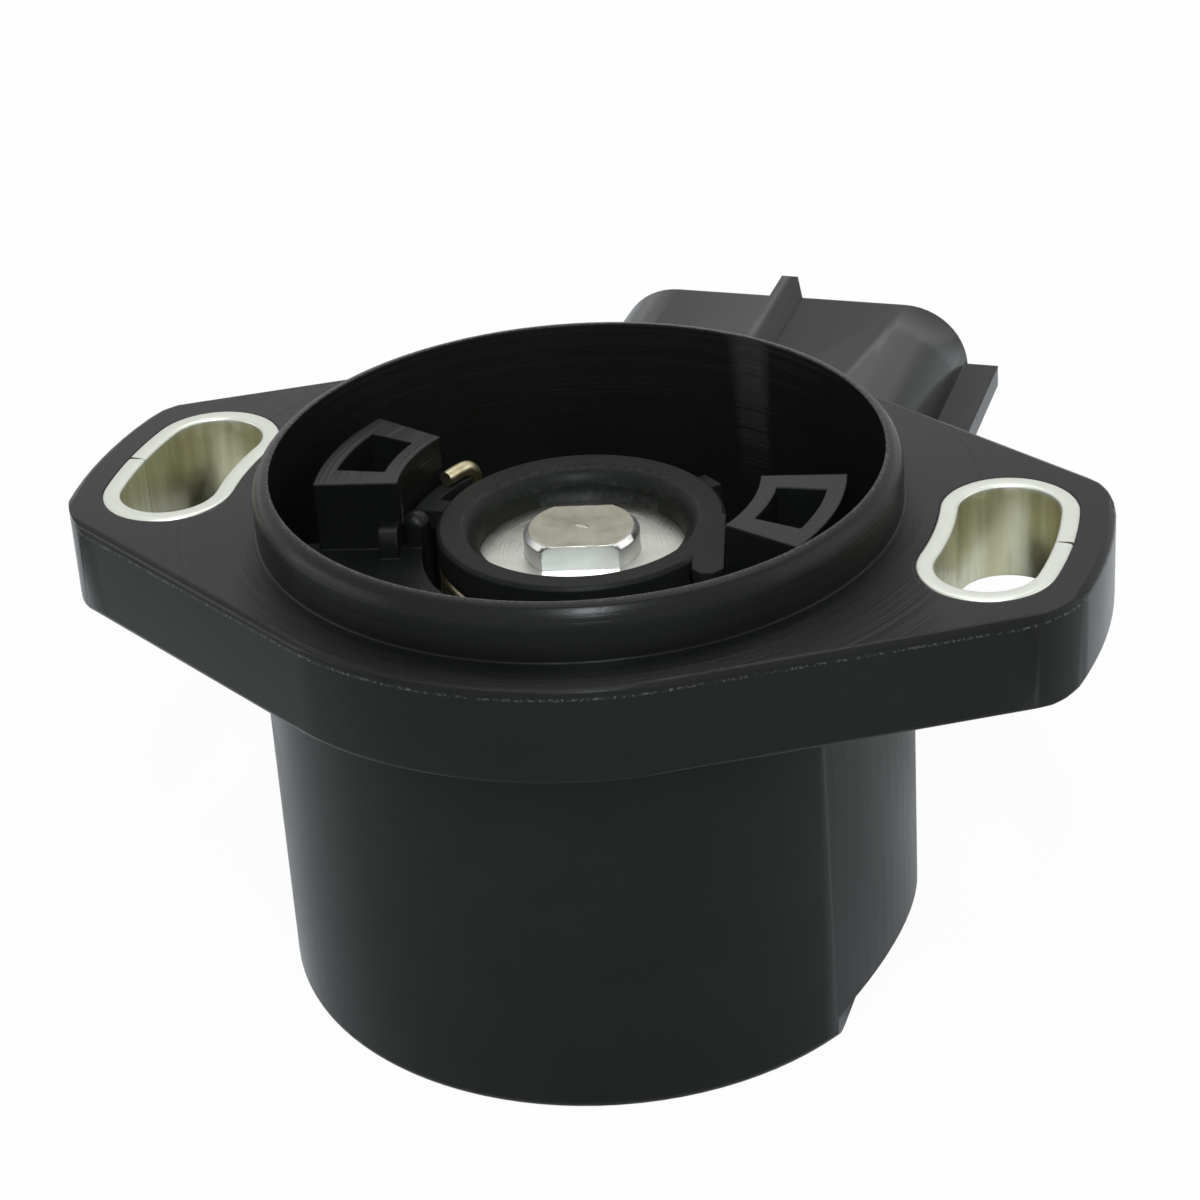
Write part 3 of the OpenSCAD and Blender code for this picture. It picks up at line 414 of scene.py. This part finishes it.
zinc, tree, skin = material("zinc_steel", Base_Color=(0.5, 0.5, 0.42, 1), Metallic=1.0, Roughness=0.36)
drawn = add(tree, "ShaderNodeMapping", {"Vector": object_place(tree), "Scale": (1.0, 1.0, 0.08)},
            vector_type="POINT")
bands = spread(tree, noise(tree, drawn.outputs[0], 900, 4, 0.6), 0.35, 0.65)
passivated = blend_colour(tree, bands, (0.48, 0.465, 0.3, 1), (0.62, 0.61, 0.46, 1))
lip = use(tree, band_tree, Level=BUSHING_TOP_Z, Half=0.5 * MM)
bare = spread(tree, lip.outputs[0], 0.1, 0.5)
tree.links.new(blend_colour(tree, bare, passivated, (0.6, 0.62, 0.56, 1)), skin.inputs["Base Color"])
tree.links.new(spread(tree, noise(tree, object_place(tree), 1800, 4, 0.65), 0.3, 0.7, 0.3, 0.46),
               skin.inputs["Roughness"])
relief(tree, skin, noise(tree, drawn.outputs[0], 2400, 3, 0.6), 0.008 * MM, 0.5)


def sweep_tree(name, made):
    tree = bpy.data.node_groups.new(name, "GeometryNodeTree")
    tree.interface.new_socket("Path", in_out="INPUT", socket_type="NodeSocketGeometry")
    for label, value in (("Width", 0.001), ("Height", 0.001), ("Fillet", 0.0002)):
        socket = tree.interface.new_socket(label, in_out="INPUT", socket_type="NodeSocketFloat")
        socket.default_value = value
    tree.interface.new_socket("Mesh", in_out="OUTPUT", socket_type="NodeSocketGeometry")
    start = tree.nodes.new("NodeGroupInput").outputs
    end = tree.nodes.new("NodeGroupOutput").inputs
    path = add(tree, "GeometryNodeMeshToCurve", {"Mesh": start["Path"]})
    upright = add(tree, "GeometryNodeSetCurveNormal", {"Curve": path.outputs[0]})
    upright.mode = "Z_UP"
    outline = add(tree, "GeometryNodeCurvePrimitiveQuadrilateral",
                  {"Width": start["Width"], "Height": start["Height"]})
    eased = add(tree, "GeometryNodeFilletCurve", {"Curve": outline.outputs[0], "Radius": start["Fillet"]},
                mode="POLY")
    eased.inputs["Count"].default_value = FILLET_STEPS
    swept = add(tree, "GeometryNodeCurveToMesh",
                {"Curve": upright.outputs[0], "Profile Curve": eased.outputs[0], "Fill Caps": True})
    real = add(tree, "GeometryNodeRealizeInstances", {"Geometry": swept.outputs[0]})
    coated = add(tree, "GeometryNodeSetMaterial", {"Geometry": real.outputs[0], "Material": made})
    tree.links.new(coated.outputs[0], end["Mesh"])
    return tree


def along_path(name, points, group, closed=False, **sizes):
    edges = [(i, i + 1) for i in range(len(points) - 1)]
    if closed:
        edges.append((len(points) - 1, 0))
    mesh = bpy.data.meshes.new(name)
    mesh.from_pydata(points, edges, [])
    holder = bpy.data.objects.new(name, mesh)
    modifier = holder.modifiers.new(name, "NODES")
    modifier.node_group = group
    for item in group.interface.items_tree:
        if item.name in sizes and item.in_out == "INPUT":
            modifier[item.identifier] = sizes[item.name]
    bpy.context.collection.objects.link(holder)
    made = evaluated(holder)
    shape = bmesh.new()
    shape.from_mesh(made)
    bmesh.ops.remove_doubles(shape, verts=shape.verts, dist=1e-8)
    bmesh.ops.recalc_face_normals(shape, faces=shape.faces)
    for face in shape.faces:
        face.smooth = True
    shape.to_mesh(made)
    shape.free()
    made.set_sharp_from_angle(angle=math.radians(50))
    return made


def kidney_path(side):
    reach = SLOT_HALF_W + BUSHING_WALL / 2
    outer_r = SLOT_R + reach
    inner_r = SLOT_R - reach
    seam = SEAM_W / 2 / outer_r
    outline = []
    for i in range(OUTER_STEPS + 1):
        a = seam + (SLOT_HALF_SWEEP - seam) * i / OUTER_STEPS
        outline.append((outer_r * math.cos(a), outer_r * math.sin(a)))
    end = (SLOT_R * math.cos(SLOT_HALF_SWEEP), SLOT_R * math.sin(SLOT_HALF_SWEEP))
    for i in range(1, END_STEPS):
        a = SLOT_HALF_SWEEP + math.pi * i / END_STEPS
        outline.append((end[0] + reach * math.cos(a), end[1] + reach * math.sin(a)))
    for i in range(INNER_STEPS + 1):
        a = SLOT_HALF_SWEEP * (1 - i / INNER_STEPS)
        outline.append((inner_r * math.cos(a), inner_r * math.sin(a)))
    outline += [(x, -y) for x, y in reversed(outline[:-1])]
    return [(side * x, side * y, BUSHING_MID_Z) for x, y in outline]


# The seam's outer corners, moved apart into a small notch.
def open_seam(mesh, side):
    for vertex in mesh.vertices:
        out = side * vertex.co.x - SLOT_R - SLOT_HALF_W
        along = abs(vertex.co.y)
        if out > 0 and along < SEAM_W:
            depth = out / BUSHING_WALL
            vertex.co.y += math.copysign(SEAM_FLARE * depth * depth, vertex.co.y)


kidney = sweep_tree("rolled_sheet", zinc)
for side, name in ((1, "slot_bushing_right"), (-1, "slot_bushing_left")):
    rolled = along_path(name + "_path", kidney_path(side), kidney, Width=BUSHING_WALL, Height=BUSHING_H,
                        Fillet=LIP_FILLET)
    open_seam(rolled, side)
    mesh_piece(name.replace("slot_", "rolled_"), rolled, zinc, "housing", "zinc_steel", name)

# Shaft: turned from mild steel, with two flats milled on its upper end, which turns the sensor
# through the throttle's slotted coupling. Its end face keeps the tool's rings and the small oval pip
# where it was parted off, and is coloured darker and warmer than the sides. The sides carry a painted
# reflection: their steel is painted much brighter. Its edges are burnished bright, and this brightening
# also paints the highlight on the end face's chamfered rim.
SHAFT_TOP_Z = -2.0 * MM
SHAFT_EDGE = 0.12 * MM
PIP_HALF = (0.65 * MM, 0.26 * MM)
PIP_TURN = math.radians(-12)
turned_steel, tree, skin = material("turned_steel", Base_Color=(0.5, 0.49, 0.45, 1), Metallic=1.0,
                                    Roughness=0.36)
turning = use(tree, turning_tree, Pitch=9000, Stain=420)
wear = use(tree, wear_tree, Width=0.22 * MM, Breakup=1500, Amount=1.0)
end_face = use(tree, band_tree, Level=SHAFT_TOP_Z, Half=0.1 * MM)
on_end = spread(tree, end_face.outputs[0], 0.3, 0.7)
# Painted reflection: the sides are painted much brighter than the end face of the same steel.
side_painted_reflection_tone = blend_colour(tree, turning.outputs["Tone"], (0.84, 0.85, 0.84, 1), (0.68, 0.69, 0.67, 1))
end_tone = blend_colour(tree, turning.outputs["Tone"], (0.37, 0.36, 0.29, 1), (0.25, 0.24, 0.18, 1))
reflected_sides_darker_end = blend_colour(tree, on_end, side_painted_reflection_tone, end_tone)
pip_turned = add(tree, "ShaderNodeMapping", {"Vector": object_place(tree), "Rotation": (0, 0, PIP_TURN)},
                 vector_type="TEXTURE")
pip_place = add(tree, "ShaderNodeVectorMath",
                {0: pip_turned.outputs[0], 1: (1 / PIP_HALF[0], 1 / PIP_HALF[1], 0)}, operation="MULTIPLY")
pip_reach = add(tree, "ShaderNodeVectorMath", {0: pip_place.outputs[0]}, operation="LENGTH").outputs["Value"]
pip = maths(tree, "MULTIPLY", spread(tree, pip_reach, 1.0, 0.7), on_end)
tipped = blend_colour(tree, maths(tree, "MULTIPLY", pip, 0.5), reflected_sides_darker_end, (0.6, 0.59, 0.52, 1))
# Burnished edges, painted brighter than the end face, which also paints the chamfer's highlight.
tree.links.new(blend_colour(tree, wear.outputs[0], tipped, (0.74, 0.73, 0.69, 1)), skin.inputs["Base Color"])
tree.links.new(spread(tree, turning.outputs["Tone"], 0, 1, 0.3, 0.46), skin.inputs["Roughness"])
shaft_height = maths(tree, "ADD", maths(tree, "MULTIPLY", turning.outputs["Height"], 0.3),
                     maths(tree, "MULTIPLY", pip, 4.0))
relief(tree, skin, shaft_height, 0.03 * MM, 0.7, SHAFT_EDGE)
mesh_piece("shaft_turning", smooth_copy("shaft"), turned_steel, "rotor", "turned_steel", "shaft")

# Drive plate, washers, clip and push nut: faced from bright spring steel, which leaves very fine
# rings about the axis, under a thin uneven film of grease.
bright, tree, skin = material("bright_steel", Base_Color=(0.62, 0.62, 0.57, 1), Metallic=1.0, Roughness=0.3)
facing_marks = use(tree, turning_tree, Pitch=14000, Stain=260)
film = spread(tree, noise(tree, object_place(tree), 380, 4, 0.6), 0.4, 0.7)
tree.links.new(blend_colour(tree, film, (0.6, 0.6, 0.55, 1), (0.48, 0.48, 0.43, 1)),
               skin.inputs["Base Color"])
tree.links.new(spread(tree, facing_marks.outputs["Tone"], 0, 1, 0.25, 0.36), skin.inputs["Roughness"])
relief(tree, skin, facing_marks.outputs["Height"], 0.03 * MM, 0.7)
dress(bright, "drive_plate", "lower_washer", "retaining_clip", "push_nut")

# Lever: a smooth dark grey acetal moulding, pressed on the shaft. It has a funnel ring, the stop
# horn, the spring's finger and a small lug, with a satin skin that is rubbed pale at its edges.
LEVER_EDGE = 0.2 * MM
lever_nylon, tree, skin = material("dark_nylon", Base_Color=(0.012, 0.013, 0.011, 1), Roughness=0.42,
                                   Specular_IOR_Level=0.08)
grain = use(tree, grain_tree, Grain=4200, Clouds=140)
wear = use(tree, wear_tree, Width=0.12 * MM, Breakup=2400, Amount=0.35)
dust = use(tree, speck_tree, Scale=2600, Size=0.25, Patches=300)
tone = blend_colour(tree, grain.outputs["Tone"], (0.0095, 0.0105, 0.009, 1), (0.014, 0.015, 0.013, 1))
marks = maths(tree, "ADD", maths(tree, "MULTIPLY", wear.outputs[0], 0.2),
              maths(tree, "MULTIPLY", dust.outputs[0], 0.04), True)
tree.links.new(blend_colour(tree, marks, tone, (0.2, 0.2, 0.18, 1)), skin.inputs["Base Color"])
tree.links.new(spread(tree, grain.outputs["Tone"], 0, 1, 0.38, 0.5), skin.inputs["Roughness"])
relief(tree, skin, grain.outputs["Height"], 0.006 * MM, 0.5, LEVER_EDGE)
mesh_piece("lever_moulding", smooth_copy("lever"), lever_nylon, "rotor", "dark_nylon", "lever")

# Return spring: brassy hard-drawn wire, coiled under the lever's rim. Its upper end rises behind
# the lever's finger and is bent over its top, and its tail rests on a post on the cup's floor. The
# coil's and the hook's radii, angles and levels are in millimetres and degrees.
WIRE_D = 1.1 * MM
WIRE_SIDES = 16
WIRE_STEPS = 3
SPRING_R = 9.35
COIL_TOP = -4.3
COIL_BOTTOM = -9.81
COIL_TURNS = 3.8
COIL_STEPS = 152
COIL_START = 177.145
COIL_END = COIL_START + 360 * COIL_TURNS
HOOK_R = 11.45
HOOK_ANGLE = 149.145
HOOK_Z = -1.14
spring_points = [(HOOK_R, HOOK_ANGLE + 14, HOOK_Z), (HOOK_R, HOOK_ANGLE + 6, HOOK_Z),
                 (HOOK_R, HOOK_ANGLE + 2.4, HOOK_Z - 0.12), (HOOK_R, HOOK_ANGLE, HOOK_Z - 0.7),
                 (HOOK_R, HOOK_ANGLE, HOOK_Z - 1.6), (HOOK_R, HOOK_ANGLE + 0.3, COIL_TOP + 0.5),
                 (HOOK_R - 0.1, HOOK_ANGLE + 2.5, COIL_TOP + 0.08), (HOOK_R - 0.7, HOOK_ANGLE + 9, COIL_TOP),
                 (SPRING_R + 0.5, HOOK_ANGLE + 18, COIL_TOP)]
for i in range(COIL_STEPS + 1):
    share = i / COIL_STEPS
    spring_points.append((SPRING_R, COIL_START + (COIL_END - COIL_START) * share,
                          COIL_TOP + (COIL_BOTTOM - COIL_TOP) * share))
spring_points += [(SPRING_R + 0.25, COIL_END + 9, COIL_BOTTOM),
                  (SPRING_R + 0.8, COIL_END + 16, COIL_BOTTOM),
                  (SPRING_R + 1.8, COIL_END + 20.5, COIL_BOTTOM),
                  (SPRING_R + 3.4, COIL_END + 22, COIL_BOTTOM)]

brass, tree, skin = material("brass_wire", Base_Color=(0.5, 0.45, 0.3, 1), Metallic=1.0, Roughness=0.33)
tarnish = spread(tree, noise(tree, object_place(tree), 700, 4, 0.6), 0.4, 0.65)
tree.links.new(blend_colour(tree, tarnish, (0.58, 0.53, 0.36, 1), (0.36, 0.31, 0.18, 1)),
               skin.inputs["Base Color"])
drawn = noise(tree, object_place(tree), 6000, 3, 0.6)
tree.links.new(spread(tree, drawn, 0.3, 0.7, 0.26, 0.42), skin.inputs["Roughness"])
relief(tree, skin, drawn, 0.006 * MM, 0.5)


def eased_points(corners, steps):
    ground = [Vector((r * math.cos(math.radians(a)), r * math.sin(math.radians(a)), z)) * MM
              for r, a, z in corners]
    ends = [ground[0] * 2 - ground[1]] + ground + [ground[-1] * 2 - ground[-2]]
    eased = []
    for i in range(1, len(ends) - 2):
        for k in range(steps):
            t = k / steps
            a, b, c, d = ends[i - 1:i + 3]
            eased.append(0.5 * (2 * b + (c - a) * t + (2 * a - 5 * b + 4 * c - d) * t * t
                                + (3 * b - a - 3 * c + d) * t ** 3))
    eased.append(ground[-1])
    return eased


wire_tree = bpy.data.node_groups.new("drawn_wire", "GeometryNodeTree")
wire_tree.interface.new_socket("Path", in_out="INPUT", socket_type="NodeSocketGeometry")
wire_size = wire_tree.interface.new_socket("Wire Radius", in_out="INPUT", socket_type="NodeSocketFloat")
wire_size.default_value = WIRE_D / 2
wire_tree.interface.new_socket("Mesh", in_out="OUTPUT", socket_type="NodeSocketGeometry")
wire_in = wire_tree.nodes.new("NodeGroupInput").outputs
wire_out = wire_tree.nodes.new("NodeGroupOutput").inputs
wire_path = add(wire_tree, "GeometryNodeMeshToCurve", {"Mesh": wire_in["Path"]})
wire_round = add(wire_tree, "GeometryNodeCurvePrimitiveCircle",
                 {"Resolution": WIRE_SIDES, "Radius": wire_in["Wire Radius"]})
wire_swept = add(wire_tree, "GeometryNodeCurveToMesh",
                 {"Curve": wire_path.outputs[0], "Profile Curve": wire_round.outputs[0], "Fill Caps": True})
wire_real = add(wire_tree, "GeometryNodeRealizeInstances", {"Geometry": wire_swept.outputs[0]})
wire_coated = add(wire_tree, "GeometryNodeSetMaterial",
                  {"Geometry": wire_real.outputs[0], "Material": brass})
wire_tree.links.new(wire_coated.outputs[0], wire_out["Mesh"])
wire_mesh = along_path("spring_path", eased_points(spring_points, WIRE_STEPS), wire_tree,
                       **{"Wire Radius": WIRE_D / 2})
spring = mesh_piece("return_spring_wire", wire_mesh, brass, None, "brass_wire", "return_spring")
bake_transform(spring)

# Bearing stack in the boss: bronze bush, rubber lip seal and a tinned thrust washer, and below them
# the wipers that the shaft carries. The lever and the cover hide them. The cover's gasket is of the
# same rubber, and the six blades in the socket's mouth are tinned like the washer.
bronze, tree, skin = material("bronze", Base_Color=(0.5, 0.3, 0.15, 1), Metallic=1.0, Roughness=0.38)
pores = use(tree, speck_tree, Scale=3800, Size=0.28, Patches=900)
tree.links.new(blend_colour(tree, pores.outputs[0], (0.52, 0.32, 0.16, 1), (0.12, 0.07, 0.035, 1)),
               skin.inputs["Base Color"])
tree.links.new(spread(tree, pores.outputs[0], 0, 1, 0.34, 0.6), skin.inputs["Roughness"])
relief(tree, skin, noise(tree, object_place(tree), 4200, 3, 0.6), 0.008 * MM, 0.5)
dress(bronze, "shaft_bush", "inner_wiper", "outer_wiper")

rubber, tree, skin = material("seal_rubber", Base_Color=(0.012, 0.012, 0.013, 1), Roughness=0.62)
bloom = use(tree, grain_tree, Grain=3600, Clouds=240)
tree.links.new(blend_colour(tree, bloom.outputs["Tone"], (0.01, 0.01, 0.011, 1), (0.026, 0.026, 0.026, 1)),
               skin.inputs["Base Color"])
tree.links.new(spread(tree, bloom.outputs["Height"], 0.3, 0.7, 0.5, 0.74), skin.inputs["Roughness"])
relief(tree, skin, bloom.outputs["Height"], 0.02 * MM, 0.6)
dress(rubber, "shaft_seal", "cover_gasket")

thrust, tree, skin = material("tin_plate", Base_Color=(0.6, 0.6, 0.58, 1), Metallic=1.0, Roughness=0.36)
dull = spread(tree, noise(tree, object_place(tree), 900, 5, 0.65), 0.35, 0.65)
tree.links.new(blend_colour(tree, dull, (0.66, 0.66, 0.64, 1), (0.42, 0.42, 0.4, 1)),
               skin.inputs["Base Color"])
tree.links.new(spread(tree, dull, 0, 1, 0.28, 0.46), skin.inputs["Roughness"])
relief(tree, skin, noise(tree, object_place(tree), 3000, 3, 0.6), 0.008 * MM, 0.5)
TERMINALS = 6
dress(thrust, "upper_washer", *["terminal_%d" % (i + 1) for i in range(TERMINALS)])

# Wiper carrier and bottom cover: plain black nylon mouldings of the housing's own resin, without
# its parting line. The cover closes the drum and shows on the part's underside.
cover_nylon, tree, skin = material("cover_nylon", Base_Color=NYLON_BLACK, Roughness=0.44,
                                   Specular_IOR_Level=0.1)
grain = use(tree, grain_tree, Grain=4800, Clouds=70)
wear = use(tree, wear_tree, Width=0.3 * MM, Breakup=1600, Amount=0.5)
tone = blend_colour(tree, grain.outputs["Tone"], NYLON_BLACK, NYLON_CLOUD)
tree.links.new(blend_colour(tree, maths(tree, "MULTIPLY", wear.outputs[0], 0.3), tone, NYLON_SCUFF),
               skin.inputs["Base Color"])
tree.links.new(spread(tree, grain.outputs["Tone"], 0, 1, 0.4, 0.5), skin.inputs["Roughness"])
relief(tree, skin, grain.outputs["Height"], 0.012 * MM, 0.6)
dress(cover_nylon, "wiper_carrier", "bottom_cover")

# Resistor board: a white ceramic disc with two screen-printed carbon tracks that the wipers'
# fingers run on.
ceramic, tree, skin = material("ceramic_board", Base_Color=(0.72, 0.71, 0.67, 1), Roughness=0.55)
fired = noise(tree, object_place(tree), 1500, 5, 0.6)
glaze = spread(tree, fired, 0.35, 0.65)
tree.links.new(blend_colour(tree, glaze, (0.76, 0.75, 0.71, 1), (0.66, 0.64, 0.59, 1)),
               skin.inputs["Base Color"])
tree.links.new(spread(tree, fired, 0.3, 0.7, 0.45, 0.65), skin.inputs["Roughness"])
relief(tree, skin, noise(tree, object_place(tree), 6000, 3, 0.6), 0.008 * MM, 0.5)
dress(ceramic, "resistor_board")

carbon, tree, skin = material("carbon_ink", Base_Color=(0.018, 0.018, 0.02, 1), Roughness=0.48)
ink = noise(tree, object_place(tree), 5200, 4, 0.65)
grey = spread(tree, ink, 0.4, 0.62)
tree.links.new(blend_colour(tree, grey, (0.014, 0.014, 0.016, 1), (0.04, 0.04, 0.042, 1)),
               skin.inputs["Base Color"])
tree.links.new(spread(tree, ink, 0.3, 0.7, 0.38, 0.6), skin.inputs["Roughness"])
relief(tree, skin, ink, 0.006 * MM, 0.6)
dress(carbon, "inner_track", "outer_track")
